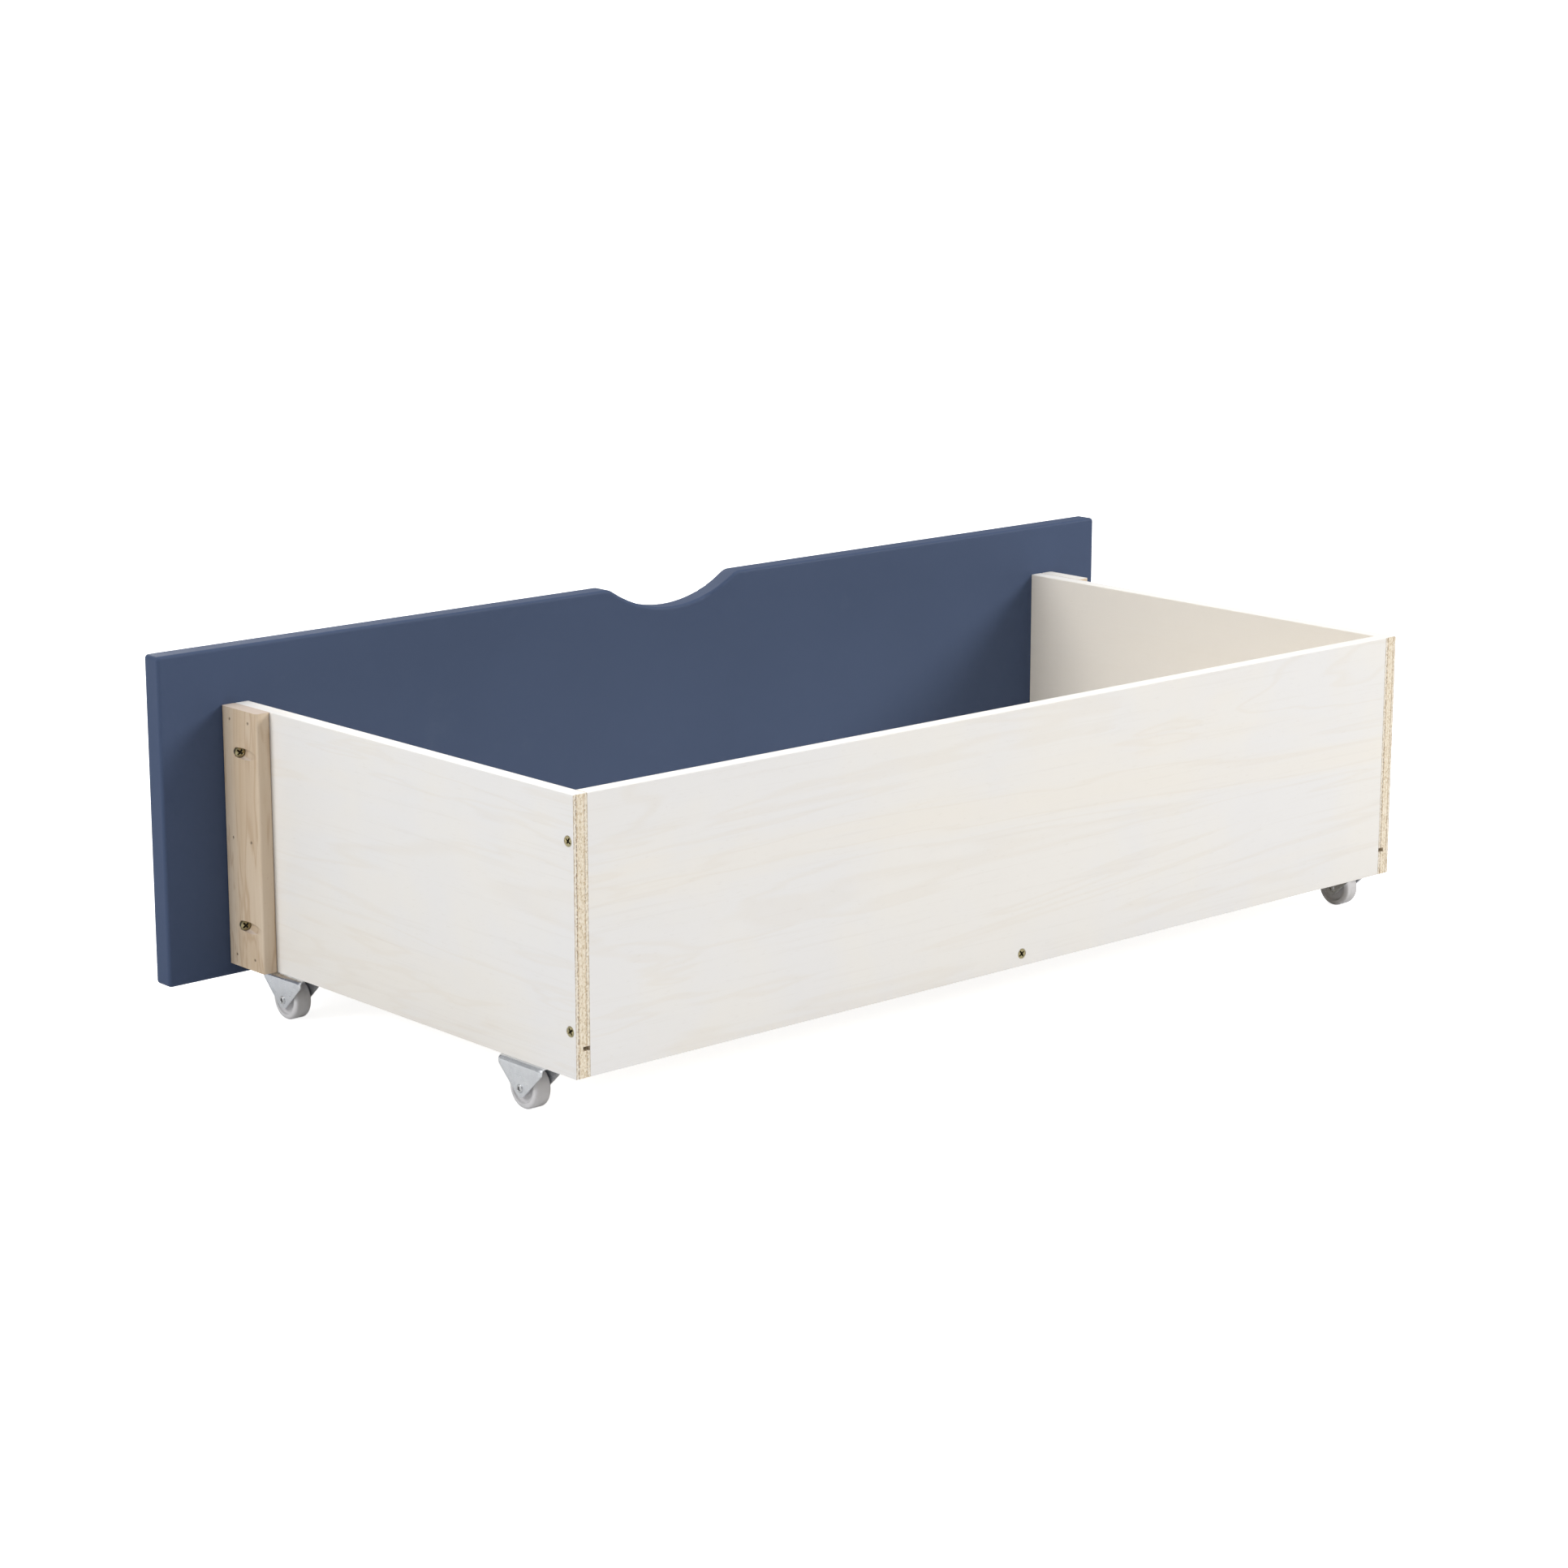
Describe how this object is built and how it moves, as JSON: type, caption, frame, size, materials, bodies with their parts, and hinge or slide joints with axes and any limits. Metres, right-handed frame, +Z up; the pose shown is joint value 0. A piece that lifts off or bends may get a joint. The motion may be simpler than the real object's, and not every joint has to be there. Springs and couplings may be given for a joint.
{
  "type": "under-bed storage drawer",
  "caption": "Rolling under-bed drawer: open plywood box with a painted front, finger scoop and fixed casters.",
  "frame": {"origin": "middle of the overall footprint, on the floor under the wheels", "axes": "+X along the painted front, towards the drawer's own right panel; +Y from the painted front to the back panel; +Z up"},
  "size_m": [0.965, 0.413, 0.27],
  "materials": {
    "front_paint": "satin slate-blue paint on board",
    "washed_ply": "white-washed plywood, raw edges",
    "thin_ply": "thin washed board",
    "pine": "planed softwood",
    "dowel_beech": "turned hardwood",
    "yellow_zinc": "yellow zinc-plated steel",
    "brad_steel": "plain steel",
    "rivet_steel": "formed steel rivet",
    "zinc_sheet": "bright zinc-plated sheet",
    "nylon": "moulded off-white nylon"
  },
  "bodies": {
    "drawer": {"front_panel": "front_paint", "side_panel_left": "washed_ply", "cleat_left": "pine", "side_panel_right": "washed_ply", "cleat_right": "pine", "back_panel": "washed_ply", "bottom_board": "thin_ply", "centre_rail": "pine", "panel_screws": "yellow_zinc", "pocket_screws": "yellow_zinc", "cleat_brads": "brad_steel", "rail_dowel": "dowel_beech", "caster_bracket_front_left": "zinc_sheet", "caster_axle_front_left": "rivet_steel", "caster_bracket_front_right": "zinc_sheet", "caster_axle_front_right": "rivet_steel", "caster_bracket_rear_left": "zinc_sheet", "caster_axle_rear_left": "rivet_steel", "caster_bracket_rear_right": "zinc_sheet", "caster_axle_rear_right": "rivet_steel", "caster_screws": "yellow_zinc"},
    "wheel_front_left": {"caster_wheel_front_left": "nylon"},
    "wheel_front_right": {"caster_wheel_front_right": "nylon"},
    "wheel_rear_left": {"caster_wheel_rear_left": "nylon"},
    "wheel_rear_right": {"caster_wheel_rear_right": "nylon"}
  },
  "joints": [
    {"name": "front_left_roll", "type": "hinge", "parent": "drawer", "child": "wheel_front_left", "pos_m": [-0.412, -0.1345, 0.015], "axis": [1, 0, 0], "continuous": true},
    {"name": "front_right_roll", "type": "hinge", "parent": "drawer", "child": "wheel_front_right", "pos_m": [0.412, -0.1345, 0.015], "axis": [1, 0, 0], "continuous": true},
    {"name": "rear_left_roll", "type": "hinge", "parent": "drawer", "child": "wheel_rear_left", "pos_m": [-0.412, 0.1615, 0.015], "axis": [1, 0, 0], "continuous": true},
    {"name": "rear_right_roll", "type": "hinge", "parent": "drawer", "child": "wheel_rear_right", "pos_m": [0.412, 0.1485, 0.015], "axis": [1, 0, 0], "continuous": true}
  ]
}
